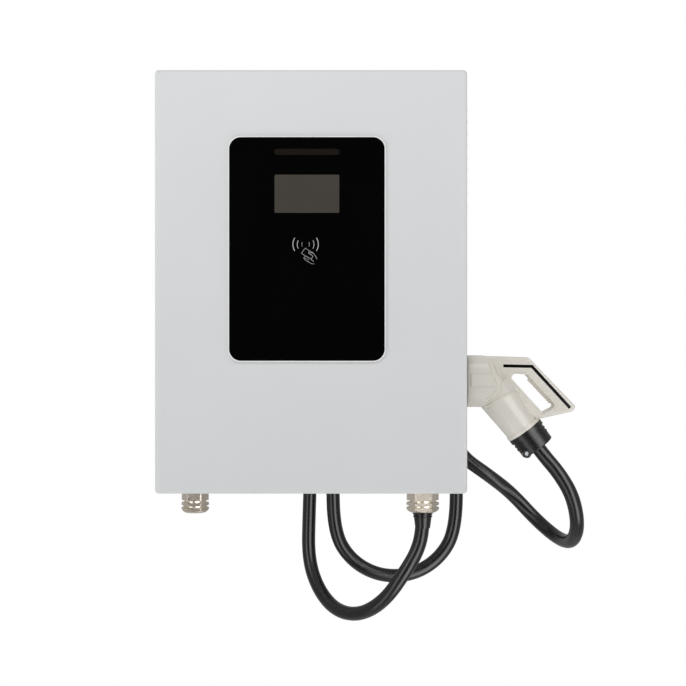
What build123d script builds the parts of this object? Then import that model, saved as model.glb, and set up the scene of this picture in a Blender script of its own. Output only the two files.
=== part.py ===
from build123d import *
import os
from math import cos, hypot, pi, radians, sin, tan

# Millimetres. The assembly is drawn about the cabinet's middle height, with the wall at y = 0 and the front
# towards -Y, and is set at the end so that the centre of the wall bolts is the origin.

# Cabinet and door
box_w = 460.0
box_h = 624.0
box_d = 210.0
standoff = 85.0
sheet = 1.5
corner_r = 6.0
fold_r = 5.0
door_d = 25.0
door_gap = 4.0
flange_w = 22.0
rim_h = 14.0
gasket_w = 12.0
gasket_gap = 0.5
back_y = -standoff
front_y = back_y - box_d
body_front_y = front_y + door_d + door_gap
half_w = box_w / 2
half_h = box_h / 2

# Louvres in the side walls: lowest z, count
louvre_len = 120.0
louvre_h = 13.0
louvre_out = 6.0
louvre_wall = 1.5
louvre_pitch = 18.0
louvre_mid_y = -175.0
louvre_rows = {-1: (-290.0, 8), 1: (118.0, 9)}
filter_t = 10.0
filter_margin = 8.0

# Wall rails: hat section, web on the wall
rail_zs = (262.0, 138.0)
rail_in = 40.0
rail_len = box_w - 2 * rail_in
rail_web = 40.0
rail_flange = 18.0
rail_t = 3.0
wall_bolt_x = rail_len / 2 - 40.0
wall_bolt_r = 5.5
frame_bolt_x = rail_len / 2 - 25.0
frame_bolt_r = 4.0
bolt_head_af = 13.0
bolt_head_h = 5.3
nut_h = 6.5
box_mid_z = -sum(rail_zs) / 2

# Hinges, lock and keeper
hinge_in = 8.0
hinge_zs = (230.0, -230.0)
knuckle_r = 5.5
pin_r = 3.0
pin_clear = 0.05
knuckle_half = 9.0
leaf_half = 20.0
leaf_gap = 0.3
arm_half = 3.0
lock_y = -250.0
lock_z = 20.0
lock_r = 8.0
lock_flange_r = 11.0
lock_flange_t = 3.0
lock_len = 30.5
lock_core_r = 5.0
lock_drive = 4.5
cam_len = 40.0
cam_half = 7.0
cam_t = 3.0
keeper_t = 3.0
keeper_z = (40.0, 55.0)
keeper_in = 45.0
keeper_x = half_w - keeper_in
keeper_tab = 14.0
keeper_tab_gap = 2.0

# Front panel and what sits behind it
panel_w = 230.0
panel_h = 330.0
panel_r = 18.0
panel_t = 3.5
panel_bevel = 0.8
panel_x = -6.0
panel_z = 48.0
panel_lap = 14.0
screen_r = 2.0
light_w, light_h, light_drop = 96.0, 9.0, 22.5
screen_w, screen_h, screen_drop = 95.0, 56.0, 61.5
icon_drop = 84.0
display_margin = 6.0
display_t = 8.0
board_t = 1.6
light_board_h = 14.0
led_count = 10
led_size = 3.0
reader_w = 78.0
control_w, control_h, control_rise = 150.0, 110.0, 82.0
control_post_in = 6.0
control_chips = [(-40, 20, 24, 24, 2), (15, 24, 34, 18, 3), (45, -18, 20, 30, 4), (-30, -25, 40, 14, 5)]
cover_depth = 24.0
cover_lap = 8.0
cover_r = 8.0
post_r = 3.0
light_z = panel_z + panel_h / 2 - light_drop
screen_z = light_z - screen_drop
icon_z = screen_z - icon_drop
control_z = panel_z - panel_h / 2 + control_rise

# Cable glands on the floor of the cabinet: x, thread radius, across flats, bore radius
gland_y = -195.0
supply_in = 49.0
output_in = 60.0
supply_gland = (-half_w + supply_in, 16.0, 37.0, 12.0)
output_gland = (half_w - output_in, 20.0, 44.0, 14.0)
gland_hex_h = 20.0
gland_neck_h = 3.0
gland_nut_h = 16.0
gland_thread_up = 14.0
locknut_h = 6.0
gland_clear = 0.3
gland_corner, gland_neck, gland_lock = 1.12, 0.9, 1.08
dome_steps = [(0.94, 0.0), (1.0, 0.06), (1.0, 0.28), (0.84, 0.34), (0.84, 0.44), (1.0, 0.5), (1.0, 0.68),
              (0.88, 0.88), (0.72, 1.0)]
dome_wide = 1.14
seal_bore_r = 9.0

# Charging cable
cable_d = 22.0
cable_r = cable_d / 2
cable_out = 30.0
sleeve_len = 24.0
sleeve_top_r = 14.5
sleeve_end_r = 11.6
inner_end_len = 30.0
lead_r = 4.5
lead_apart = 5.2
lead_rise = 26.0
lead_pass = 24.0
lead_drop = (90.0, 60.0)
lead_lap = 6.0
saddle_x = 112.0
saddle_z = -40.0
saddle_gap = 0.4
saddle_t = 2.5
saddle_half_angle = 60.0
saddle_lip = 11.0
saddle_tail = 26.0
saddle_end_y = -26.5
turn_r = 120.0
turn_step = 30.0
rear_y = -42.5
near_y = -67.5
loop_x = 133.0
loop_z = -372.0
loop_r = 101.0

# Charging gun, in its own plane; outlines are pairs of distance out from the right wall and height
gun_y = -200.0
barrel_end = 72.0
barrel_z = -148.5
barrel_w, barrel_h, barrel_r = 66.0, 79.0, 24.0
barrel_outline = [(0, -100), (26, -100), (67, -164), (35, -195), (0, -195)]
grip_outline = [(20, -109.5), (100.5, -112), (173, -187.5), (167.5, -194.5), (119.5, -205.3), (88, -200),
                (32, -180)]
grip_half = 20.0
grip_edge_r = 3.5
hole_outline = [(66, -136), (98, -138), (144, -187), (122.5, -198)]
hole_r = 6.0
stripe_path = [(61.5, -124.8), (105.3, -125.7), (163.3, -189)]
stripe_w = 4.7
stripe_t = 1.2
plate_out = (12.0, 47.0)
plate_z = (-157.0, -136.0)
plate_t = 0.8
neck_end = (96.2, -223.3)
neck_dir = (0.6, -0.8)
neck_rim_r, neck_rim_h = 29.4, 5.0
neck_r, neck_top_r, neck_len = 28.0, 33.5, 82.0
cavity_wall = 4.0
cavity_out = (17.0, 53.0)
cavity_outline = [(0, -100), (17, -100), (57, -164), (32, -188), (0, -188)]
neck_bore_r, neck_bore_len = 23.0, 62.0
cap_flange_r, cap_flange_h = 29.0, 8.0
cap_r, cap_len = 26.8, 34.5
cap_ridge_r, cap_ridge_h, cap_ridges = 27.8, 2.0, (13.0, 19.0)
cap_edge_r = 2.0
cap_lead = 14.0
boss_at = (-20.5, 29.2)
boss_r, boss_out = 6.5, 22.5
screw_r, screw_sink = 3.4, 2.2
nose_r = 32.0
nose_in = 68.0
contact_depth = 38.0
contact_rows = [(6.0, 17.0, (90, 270)), (3.5, 18.0, (30, 150, 210, 330)), (4.5, 0.0, (0,))]
contact_clear = 1.5
contact_tip = 6.0
trigger_len, trigger_w = 50.0, 14.0
trigger_in, trigger_out = 7.0, 3.0
trigger_clear = 0.3
trigger_travel = 2.5
trigger_ribs = 13
trigger_rib_h, trigger_rib_w = 1.0, 1.7

# Gun holster in the right wall
holster_flange = (92.0, 104.0, 14.0)
holster_flange_t = 4.0
holster_edge_r = 1.5
holster_gap = 1.0
cup_r = 32.5
cup_wall = 3.5
cup_depth = 80.0
cup_end_x = half_w - cup_depth
cup_clear = 0.7
barrel_start = holster_flange_t + holster_gap

# Inside the cabinet
plate_gap = 10.5
plate_in = (25.0, 12.0)
mount_plate = (half_w - plate_in[0], half_h - plate_in[1], 2.0)
stud_r = 5.0
stud_at = (mount_plate[0] - 15.0, mount_plate[1] - 15.0)
plate_y = back_y - sheet - plate_gap - mount_plate[2]
wall_gap = 30.0
dc_bay = 204.0
top_gap = 22.0
module_h = 360.0
module_px = (-half_w + wall_gap, half_w - dc_bay)
module_pz = (half_h - top_gap - module_h, half_h - top_gap)
module_gap = 7.0
case_t = 1.2
fan_edge = 17.0
fan_gap = 32.0
fan_size = (module_px[1] - module_px[0] - fan_gap) / 2 - fan_edge
fan_margin = 2.0
module_t = fan_size + 2 * fan_margin
fan_depth = 25.0
fan_wall = 2.5
fan_corner_r = 4.0
fan_back = 3.0
fan_lip = 2.0
fan_bore_r = fan_size / 2 - fan_wall
fan_mid = sum(module_px) / 2
fan_apart = (fan_size + fan_gap) / 2
fan_xs = (fan_mid - fan_apart, fan_mid + fan_apart)
hub_share = 0.2125
hub_r = hub_share * fan_size
blade_clear = 1.5
blade_tip_r = fan_bore_r - blade_clear
blade_count = 7
blade_pitch = 38.0
blade_chord = 20.0
blade_t = 1.6
blade_root = 2.0
spoke_w = 4.0
rotor_gap = 0.5
sink_fins = 15
sink_fin_t = 2.0
sink_base = 8.0
sink_margin = 12.0
sink_pz = (0.0, 240.0)
grille_slots = 12
grille_slot_w = 10.0
grille_in = 12.0
bracket_h = 16.0
bracket_in = 20.0
bracket_pz = (20.0, 230.0)
rail_z = -205.0
din_h, din_t, din_t2 = 35.0, 7.5, 1.0
din_rib = 13.5
din_px = (-half_w + plate_in[0], half_w - 150.0)
device_half = 45.0
nose_half = 23.0
device_depth = 44.0
device_nose = 66.0
device_gap = 6.0
breaker_w, surge_w, contactor_w, supply_w = 72.0, 54.0, 62.0, 62.0
breaker_px = (-half_w + wall_gap, -half_w + wall_gap + breaker_w)
surge_px = (breaker_px[1] + device_gap, breaker_px[1] + device_gap + surge_w)
contactor_px = (surge_px[1] + device_gap, surge_px[1] + device_gap + contactor_w)
supply_px = (contactor_px[1] + device_gap, contactor_px[1] + device_gap + supply_w)
supply_depth = 88.0
vent_count, vent_pitch, vent_h, vent_sink = 6, 10.0, 4.0, 2.0
vent_front, vent_rear = 12.0, 15.0
surge_modules, surge_groove, surge_groove_t = 3, 1.0, 6.0
contactor_step = 6.0
contactor_flag = (20.0, 16.0, 3.0)
toggle_r = 7.0
toggle_len = 13.0
toggle_half = 30.0
toggle_clear = 0.4
toggle_slot = 10.5
toggle_t = 5.0
toggle_rest = 35.0
terminal_w, terminal_h = 120.0, 30.0
terminal_px = (-half_w + wall_gap, -half_w + wall_gap + terminal_w)
terminal_pz = (-mount_plate[1] + 4.0, -mount_plate[1] + 4.0 + terminal_h)
terminal_depth = 42.0
terminal_count = 5
terminal_screw_r, terminal_screw_t = 5.0, 8.0
terminal_wire_r, terminal_wire_t, terminal_wire_in = 6.0, 11.0, 18.0
earth_gap, earth_w = 20.0, 120.0
earth_px = (terminal_px[1] + earth_gap, terminal_px[1] + earth_gap + earth_w)
earth_z = sum(terminal_pz) / 2
earth_h, earth_t = 14.0, 6.0
earth_lift = 16.0
earth_holes, earth_hole_r, earth_foot_in = 6, 2.5, 10.0
dc_in = (135.0, 65.0)
dc_xs = (half_w - dc_in[0], half_w - dc_in[1])
dc_z = 70.0
dc_size = 56.0
dc_depth = 40.0
dc_can_r, dc_can_h = 23.0, 26.0
dc_post_r, dc_post_h, dc_post_dz = 5.0, 6.0, 22.0
dc_corner_r = 5.0
dc_pad, dc_pad_sink = 18.0, 4.0
fuse_px = dc_xs[0]
fuse_pz = (175.0, 245.0)
fuse_r = 16.0
fuse_blade = (18.0, 4.0, 22.0)
fuse_lift = 20.0
fuse_foot = (16.0, 12.0, 12.0)
bar_w, bar_t = 18.0, 3.0
bar_drop, bar_lap, bar_rise = 22.0, 20.0, 40.0


def block(x, y, z):
    spans = (x, y, z)
    sizes = [abs(b - a) for a, b in spans]
    mids = [(a + b) / 2 for a, b in spans]
    return Pos(*mids) * Box(*sizes)


def rod(base, direction, radius, length):
    plane = Plane(origin=base, z_dir=direction)
    return plane * Cylinder(radius, length, align=(Align.CENTER, Align.CENTER, Align.MIN))


def plate(sketch, y_rear, thickness):
    plane = Plane(origin=(0, y_rear, 0), x_dir=(1, 0, 0), z_dir=(0, -1, 0))
    return extrude(plane * sketch, amount=thickness, dir=(0, -1, 0))


def outline(points, radius=0):
    sketch = Polygon(*points, align=None)
    return fillet(sketch.vertices(), radius) if radius else sketch


def inset_block(inset, y):
    return block((-half_w + inset, half_w - inset), y, (-half_h + inset, half_h - inset))


def frame(inset_out, inset_in, y):
    reach = (min(y) - 1, max(y) + 1)
    return inset_block(inset_out, y) - inset_block(inset_in, reach)


def beside(points):
    return [(half_w + out, z) for out, z in points]


def hexagon(at, across_flats, height):
    plane = Plane(origin=at, z_dir=(0, 0, 1))
    return extrude(plane * RegularPolygon(across_flats / 2, 6, major_radius=False), amount=height)


def louvre_hood(side, z):
    wall = side * half_w
    rear = louvre_mid_y + louvre_len / 2
    tip = wall + side * louvre_out
    hood = plate(outline([(wall, z), (tip, z), (wall, z + louvre_h)]), rear, louvre_len)
    inside = wall - side * 2 * sheet
    top = z + louvre_h - 2 * louvre_wall
    mouth = [(inside, z - 0.5), (tip - side * louvre_wall, z - 0.5), (wall, top), (inside, top)]
    return hood, plate(outline(mouth), rear - louvre_wall, louvre_len - 2 * louvre_wall)


def cabinet_shell():
    whole = block((-half_w, half_w), (body_front_y, back_y), (-half_h, half_h))
    shell = fillet(whole.edges().filter_by(Axis.Y), corner_r)
    shell -= inset_block(sheet, (body_front_y + sheet, back_y - sheet))
    shell -= inset_block(flange_w, (body_front_y - 1, body_front_y + 2 * sheet))
    shell += frame(flange_w - sheet, flange_w, (body_front_y - rim_h, body_front_y))
    for side, (low, count) in louvre_rows.items():
        pairs = [louvre_hood(side, low + i * louvre_pitch) for i in range(count)]
        shell += [hood for hood, _ in pairs]
        shell -= [mouth for _, mouth in pairs]
    for x, thread_r, _, _ in (supply_gland, output_gland):
        shell -= rod((x, gland_y, -half_h - 1), (0, 0, 1), thread_r + gland_clear, 2 + sheet)
    shell -= rod((half_w - 2 * sheet, gun_y, barrel_z), (1, 0, 0), cup_r + cup_wall + cup_clear, 3 * sheet)
    shell -= rod((half_w - 2 * sheet, lock_y, lock_z), (1, 0, 0), lock_r + gland_clear, 3 * sheet)
    for x, z in frame_bolt_spots():
        shell -= rod((x, back_y - 2 * sheet, z), (0, 1, 0), frame_bolt_r, 3 * sheet)
    return shell


def frame_bolt_spots():
    inner = rail_web / 2 + rail_flange / 2
    return [(x, z) for x in (-frame_bolt_x, frame_bolt_x) for z in (rail_zs[0] - inner, rail_zs[1] + inner)]


def wall_rail(z):
    half_web = rail_web / 2
    half_len = (-rail_len / 2, rail_len / 2)
    rail = block(half_len, (-rail_t, 0), (z - half_web, z + half_web))
    for side in (-1, 1):
        edge = z + side * half_web
        rail += block(half_len, (back_y, 0), (edge - side * rail_t, edge))
        rail += block(half_len, (back_y, back_y + rail_t), (edge - side * rail_t, edge + side * rail_flange))
    for x in (-wall_bolt_x, wall_bolt_x):
        rail -= rod((x, -2 * rail_t, z), (0, 1, 0), wall_bolt_r, 3 * rail_t)
    for x, bolt_z in frame_bolt_spots():
        if abs(bolt_z - z) < rail_web:
            rail -= rod((x, back_y - rail_t, bolt_z), (0, 1, 0), frame_bolt_r, 3 * rail_t)
    return rail


def frame_bolts():
    bolts = []
    head = RegularPolygon(bolt_head_af / 2, 6, major_radius=False)
    for x, z in frame_bolt_spots():
        inner_face = back_y - sheet
        bolt = rod((x, inner_face, z), (0, 1, 0), frame_bolt_r, sheet + rail_t)
        bolt += plate(Pos(x, z) * head, inner_face, bolt_head_h)
        bolt += plate(Pos(x, z) * head, back_y + rail_t + nut_h, nut_h)
        bolts.append(bolt)
    return Compound(bolts)


def front_door():
    whole = block((-half_w, half_w), (front_y, front_y + door_d), (-half_h, half_h))
    door = fillet(whole.edges().filter_by(Axis.Y), corner_r)
    door = fillet(door.faces().sort_by(Axis.Y)[0].edges(), fold_r)
    inner = inset_block(sheet, (front_y + sheet, front_y + door_d + 1))
    inner = fillet(inner.edges().filter_by(Axis.Y), corner_r - sheet)
    inner = fillet(inner.faces().sort_by(Axis.Y)[0].edges(), fold_r - sheet)
    door -= inner
    opening = window(panel_w - 2 * panel_lap, panel_h - 2 * panel_lap, cover_r, panel_z)
    door -= plate(opening, front_y + 2 * sheet, 3 * sheet)
    for z in hinge_zs:
        notch = knuckle_half + 2
        door -= block((-half_w - 1, -half_w + 2 * sheet), (front_y + fold_r, front_y + door_d + 1),
                      (z - notch, z + notch))
    return door


def door_gasket():
    mid = flange_w - sheet / 2
    return frame(mid - gasket_w / 2, mid + gasket_w / 2,
                 (front_y + sheet, body_front_y - rim_h - gasket_gap))


def hinge_axis():
    return -half_w + hinge_in, front_y + door_d - hinge_in


def hinge_body_leaf(z):
    x, y = hinge_axis()
    leaf = rod((x, y, z - knuckle_half), (0, 0, 1), knuckle_r, 2 * knuckle_half)
    leaf += block((x - arm_half, x + arm_half), (y, body_front_y), (z - knuckle_half, z + knuckle_half))
    return leaf - rod((x, y, z - leaf_half), (0, 0, 1), pin_r, 2 * leaf_half)


def hinge_door_leaf(z):
    x, y = hinge_axis()
    inner_face = front_y + sheet
    leaf = block((x - arm_half, x + 2 * arm_half), (inner_face, inner_face + 2 * sheet),
                 (z - leaf_half, z + leaf_half))
    for side in (-1, 1):
        near = z + side * (knuckle_half + leaf_gap)
        far = z + side * leaf_half
        leaf += rod((x, y, min(near, far)), (0, 0, 1), knuckle_r, abs(far - near))
        leaf += block((x - arm_half, x + arm_half), (inner_face, y), (near, far))
    return leaf - rod((x, y, z - leaf_half - 1), (0, 0, 1), pin_r + pin_clear, 2 * leaf_half + 2)


def hinge_pin(z):
    x, y = hinge_axis()
    return rod((x, y, z - leaf_half), (0, 0, 1), pin_r, 2 * leaf_half)


def lock_barrel():
    start = half_w - lock_len
    barrel = rod((start, lock_y, lock_z), (1, 0, 0), lock_r, lock_len)
    barrel += rod((half_w, lock_y, lock_z), (1, 0, 0), lock_flange_r, lock_flange_t)
    through = lock_len + lock_flange_t + 2
    return barrel - rod((start - 1, lock_y, lock_z), (1, 0, 0), lock_core_r + pin_clear, through)


def lock_core():
    start = half_w - lock_len - leaf_gap
    core = rod((start, lock_y, lock_z), (1, 0, 0), lock_core_r, lock_len + lock_flange_t)
    end = start + lock_len + lock_flange_t
    half = lock_drive / 2
    drive = block((end - lock_drive, end + 1), (lock_y - half, lock_y + half), (lock_z - half, lock_z + half))
    return core - drive


def lock_cam():
    end = half_w - lock_len - leaf_gap
    reach = (lock_y - cam_len, lock_y + cam_half)
    cam = block((end - cam_t, end), reach, (lock_z - cam_half, lock_z + cam_half))
    return fillet(cam.edges().filter_by(Axis.X), cam_half * 0.6)


def lock_keeper():
    inner_face = front_y + sheet
    tab_y = lock_y + cam_half + keeper_tab_gap
    arm = block((keeper_x, keeper_x + keeper_t), (inner_face, tab_y + keeper_t), keeper_z)
    arm += block((keeper_x, keeper_x + keeper_t + keeper_tab), (tab_y, tab_y + keeper_t), keeper_z)
    foot = (keeper_x - keeper_tab, keeper_x + keeper_t)
    return arm + block(foot, (inner_face, inner_face + keeper_t), keeper_z)


def window(width, height, radius, z):
    return Pos(panel_x, z) * RectangleRounded(width, height, radius)


def light_window():
    return window(light_w, light_h, light_h / 2 - 0.01, light_z)


def screen_window():
    return window(screen_w, screen_h, screen_r, screen_z)


def front_panel():
    whole = plate(window(panel_w, panel_h, panel_r, panel_z), front_y, panel_t)
    panel = chamfer(whole.faces().sort_by(Axis.Y)[0].edges(), panel_bevel)
    return panel - plate(light_window() + screen_window(), front_y + 1, panel_t + 2)


def panel_cover():
    inner_face = front_y + sheet
    lap = panel_lap - cover_lap
    outer = window(panel_w - 2 * lap, panel_h - 2 * lap, cover_r, panel_z)
    cover = plate(outer, inner_face + cover_depth, cover_depth)
    thin = 2 * (lap + sheet)
    inner = window(panel_w - thin, panel_h - thin, cover_r - sheet, panel_z)
    return cover - plate(inner, inner_face + cover_depth - sheet, cover_depth)


def light_board():
    y = front_y + 2 * led_size
    board = block((panel_x - light_w / 2, panel_x + light_w / 2), (y - board_t, y),
                  (light_z - light_board_h / 2, light_z + light_board_h / 2))
    pitch = light_w / led_count
    for i in range(led_count):
        x = panel_x + (i - (led_count - 1) / 2) * pitch
        board += block((x - led_size / 2, x + led_size / 2), (front_y, y - board_t),
                       (light_z - led_size / 2, light_z + led_size / 2))
    return board


def display_module():
    half = (screen_w / 2 + display_margin, screen_h / 2 + display_margin)
    return block((panel_x - half[0], panel_x + half[0]), (front_y, front_y + display_t),
                 (screen_z - half[1], screen_z + half[1]))


def reader_board():
    half = reader_w / 2
    y = (front_y, front_y + board_t)
    board = block((panel_x - half, panel_x + half), y, (icon_z - half, icon_z + half))
    chip = half / 4
    return board + block((panel_x - chip, panel_x + chip), (front_y + board_t, front_y + 2 * board_t),
                         (icon_z - chip, icon_z + chip))


def control_board():
    back = front_y + cover_depth
    y = back - 3 * post_r
    face = y - board_t
    half = (control_w / 2, control_h / 2)
    board = block((panel_x - half[0], panel_x + half[0]), (face, y),
                  (control_z - half[1], control_z + half[1]))
    post = (half[0] - control_post_in, half[1] - control_post_in)
    for x in (panel_x - post[0], panel_x + post[0]):
        for z in (control_z - post[1], control_z + post[1]):
            board += rod((x, y, z), (0, 1, 0), post_r, back - y)
    for dx, dz, wide, high, tall in control_chips:
        x, z = panel_x + dx, control_z + dz
        board += block((x - wide / 2, x + wide / 2), (face - tall, face), (z - high / 2, z + high / 2))
    return board


def gland_body(spec):
    x, thread_r, flats, bore_r = spec
    body = hexagon((x, gland_y, -half_h - gland_hex_h), flats, gland_hex_h)
    body = body & rod((x, gland_y, -half_h - gland_hex_h), (0, 0, 1), flats / 2 * gland_corner, gland_hex_h)
    body += rod((x, gland_y, -half_h), (0, 0, 1), thread_r, gland_thread_up)
    low = -half_h - gland_hex_h - gland_neck_h
    body += rod((x, gland_y, low), (0, 0, 1), flats / 2 * gland_neck, gland_neck_h)
    return body - rod((x, gland_y, low - 1), (0, 0, 1), bore_r, gland_thread_up - half_h - low + 2)


def gland_nut(spec):
    x, _, flats, bore_r = spec
    top = -half_h - gland_hex_h - gland_neck_h
    nut = hexagon((x, gland_y, top - gland_nut_h), flats, gland_nut_h)
    wide = flats / 2 * dome_wide
    profile = [(0, 0)] + [(wide * r, -gland_nut_h * h) for r, h in dome_steps] + [(0, -gland_nut_h)]
    dome = revolve(Plane.XZ * Polygon(*profile, align=None), Axis.Z)
    nut = nut & (Pos(x, gland_y, top) * dome)
    return nut - rod((x, gland_y, top - gland_nut_h - 1), (0, 0, 1), bore_r, gland_nut_h + 2)


def gland_locknut(spec):
    x, thread_r, flats, _ = spec
    nut = hexagon((x, gland_y, -half_h + sheet), flats * gland_lock, locknut_h)
    return nut - rod((x, gland_y, -half_h), (0, 0, 1), thread_r, gland_thread_up)


def gland_bottom():
    return -half_h - gland_hex_h - gland_neck_h - gland_nut_h


def supply_seal():
    x, _, _, bore_r = supply_gland
    seal = rod((x, gland_y, gland_bottom()), (0, 0, 1), bore_r, gland_nut_h)
    return seal - rod((x, gland_y, gland_bottom() - 1), (0, 0, 1), seal_bore_r, gland_nut_h + 2)


def output_seal():
    x, _, _, bore_r = output_gland
    return rod((x, gland_y, gland_bottom()), (0, 0, 1), bore_r, gland_nut_h)


def cable_inner_end():
    x = output_gland[0]
    low = gland_bottom() + gland_nut_h
    return rod((x, gland_y, low), (0, 0, 1), cable_r, -half_h + inner_end_len + gland_thread_up - low)


def cable_sleeve():
    x = output_gland[0]
    cone = Cone(sleeve_end_r, sleeve_top_r, sleeve_len, align=(Align.CENTER, Align.CENTER, Align.MIN))
    sleeve = Pos(x, gland_y, gland_bottom() - sleeve_len) * cone
    return sleeve - rod((x, gland_y, gland_bottom() - 2 * sleeve_len), (0, 0, 1), cable_r, 3 * sleeve_len)


def turn_points(y):
    reach = turn_r / cos(radians(turn_step / 2))
    angles = [165 - i * turn_step for i in range(6)]
    return [(saddle_x + reach * cos(radians(a)), y, saddle_z + reach * sin(radians(a))) for a in angles]


def loop_points():
    reach = loop_r / cos(radians(turn_step / 2))
    points = []
    for i in range(6):
        a = radians(-15 - i * turn_step)
        points.append((loop_x + reach * cos(a), rear_y + (near_y - rear_y) * i / 5, loop_z + reach * sin(a)))
    return points


def cable_route():
    x = output_gland[0]
    low = gland_bottom()
    down = [(x, gland_y, low), (x, gland_y, low - cable_out), (x - 9, gland_y, -413),
            (x - 26, -199.5, -440.5), (x - 57.5, -191, -488), (x - 96, -159.5, -517.5), (36, -117, -519),
            (6.5, -76.5, -492), (-10.5, -52, -445), (-9, -44, -370)]
    up_left = [(-6, rear_y, -285), (-9, rear_y, -190), (-7, rear_y, -98)]
    down_right = [(233, rear_y, -95), (231, rear_y, -190), (235, rear_y, -290)]
    up_again = [(30, near_y, -300), (12, near_y, -195), (-6, near_y, -98)]
    leave = [(222, near_y, -85), (209, near_y, -155), (212, near_y, -222), (240, near_y, -275)]
    side_loop = [(56, near_y, -307), (94.5, -52, -337), (136, -62, -382.5), (166, -103, -407),
                 (178, -156, -403.5), (180, -196, -372), (169.5, -211, -326), (149.5, -208.5, -291)]
    to_gun = [(half_w + out, y, z) for out, y, z in side_loop]
    to_gun += [neck_origin(cap_len + cap_lead), neck_origin(cap_flange_h + 1)]
    route = down + up_left + turn_points(rear_y) + down_right + loop_points() + up_again
    return route + turn_points(near_y) + leave + to_gun


def bend_radii(points):
    radii = []
    for a, b, c in zip(points, points[1:], points[2:]):
        first = Vector(*b) - Vector(*a)
        second = Vector(*c) - Vector(*b)
        half_turn = radians(first.get_angle(second)) / 2
        radii.append(0.45 * min(first.length, second.length) / tan(half_turn))
    return radii


def charging_cable():
    points = cable_route()
    radii = bend_radii(points)
    path = FilletPolyline(*points, radius=radii)
    tube = sweep(Plane(origin=path @ 0, z_dir=path % 0) * Circle(cable_r), path=path)
    print("cable length", round(path.length), "volume / (section x length)",
          round(tube.volume / (pi * cable_r ** 2 * path.length), 4))
    print("bend radii", [round(r) for r in radii])
    return tube


def ring_sector(r_in, r_out, y, half_angle):
    centre = (saddle_x, min(y), saddle_z)
    ring = rod(centre, (0, 1, 0), r_out, abs(y[1] - y[0])) - rod(centre, (0, 1, 0), r_in, abs(y[1] - y[0]))
    reach = 2 * r_out
    edge = (reach * sin(radians(half_angle)), reach * cos(radians(half_angle)))
    wedge = [(saddle_x, saddle_z), (saddle_x + edge[0], saddle_z + edge[1]), (saddle_x, saddle_z + reach),
             (saddle_x - edge[0], saddle_z + edge[1])]
    return ring & plate(outline(wedge), max(y) + 1, abs(y[1] - y[0]) + 2)


def cable_saddle():
    top_r = turn_r - cable_r - saddle_gap
    saddle = ring_sector(top_r - saddle_t, top_r, (back_y, saddle_end_y), saddle_half_angle)
    saddle += ring_sector(top_r - saddle_t, top_r + saddle_lip, (saddle_end_y - saddle_t, saddle_end_y),
                          saddle_half_angle)
    return saddle + ring_sector(top_r - saddle_tail, top_r, (back_y, back_y + saddle_t), saddle_half_angle)


def neck_axis():
    return (neck_dir[0], 0, neck_dir[1])


def neck_origin(along=0.0):
    return (half_w + neck_end[0] + neck_dir[0] * along, gun_y, neck_end[1] + neck_dir[1] * along)


def gun_neck():
    base = (Align.CENTER, Align.CENTER, Align.MIN)
    up = Plane(origin=neck_origin(), z_dir=(-neck_dir[0], 0, -neck_dir[1]))
    neck = up * Cylinder(neck_rim_r, neck_rim_h, align=base)
    return neck + up.offset(neck_rim_h) * Cone(neck_r, neck_top_r, neck_len - neck_rim_h, align=base)


def gun_barrel():
    start = Plane(origin=(half_w + barrel_start, gun_y, barrel_z), x_dir=(0, 1, 0), z_dir=(1, 0, 0))
    section = RectangleRounded(barrel_w, barrel_h, barrel_r)
    barrel = extrude(start * section, amount=barrel_end - barrel_start)
    barrel = chamfer(barrel.faces().sort_by(Axis.X)[0].edges(), 2)
    return barrel & plate(outline(beside(barrel_outline), 4), gun_y + barrel_w, 2 * barrel_w)


def gun_cavity():
    start = Plane(origin=(half_w + cavity_out[0], gun_y, barrel_z), x_dir=(0, 1, 0), z_dir=(1, 0, 0))
    inner = RectangleRounded(barrel_w - 2 * cavity_wall, barrel_h - 2 * cavity_wall, barrel_r - cavity_wall)
    cavity = extrude(start * inner, amount=cavity_out[1] - cavity_out[0])
    cavity = cavity & plate(outline(beside(cavity_outline)), gun_y + barrel_w, 2 * barrel_w)
    return cavity + rod(neck_origin(1), (-neck_dir[0], 0, -neck_dir[1]), neck_bore_r, neck_bore_len)


def stripe_sketch():
    return trace(Polyline(*beside(stripe_path)), line_width=stripe_w)


def trigger_plane(depth=0.0):
    top, bottom = beside(hole_outline)[1:3]
    run = (bottom[0] - top[0], bottom[1] - top[1])
    length = hypot(*run)
    along = (run[0] / length, 0, run[1] / length)
    into_grip = (-along[2], 0, along[0])
    mid = ((top[0] + bottom[0]) / 2, gun_y, (top[1] + bottom[1]) / 2)
    origin = (mid[0] + into_grip[0] * depth, gun_y, mid[2] + into_grip[2] * depth)
    return Plane(origin=origin, x_dir=along, z_dir=into_grip)


def release_trigger():
    base = (Align.CENTER, Align.CENTER, Align.MIN)
    bar = trigger_plane(-trigger_out) * Box(trigger_len, trigger_w, trigger_out + trigger_in, align=base)
    pitch = trigger_len / trigger_ribs
    face = trigger_plane(-trigger_out - trigger_rib_h)
    for i in range(trigger_ribs):
        spot = Pos((i - (trigger_ribs - 1) / 2) * pitch, 0, 0)
        bar += face * spot * Box(trigger_rib_w, trigger_w, 2 * trigger_rib_h, align=base)
    return bar


def trigger_pocket():
    base = (Align.CENTER, Align.CENTER, Align.MIN)
    grow = 2 * trigger_clear
    depth = trigger_out + trigger_in + trigger_travel + grow
    return trigger_plane(-trigger_out) * Box(trigger_len + grow, trigger_w + grow, depth, align=base)


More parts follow.
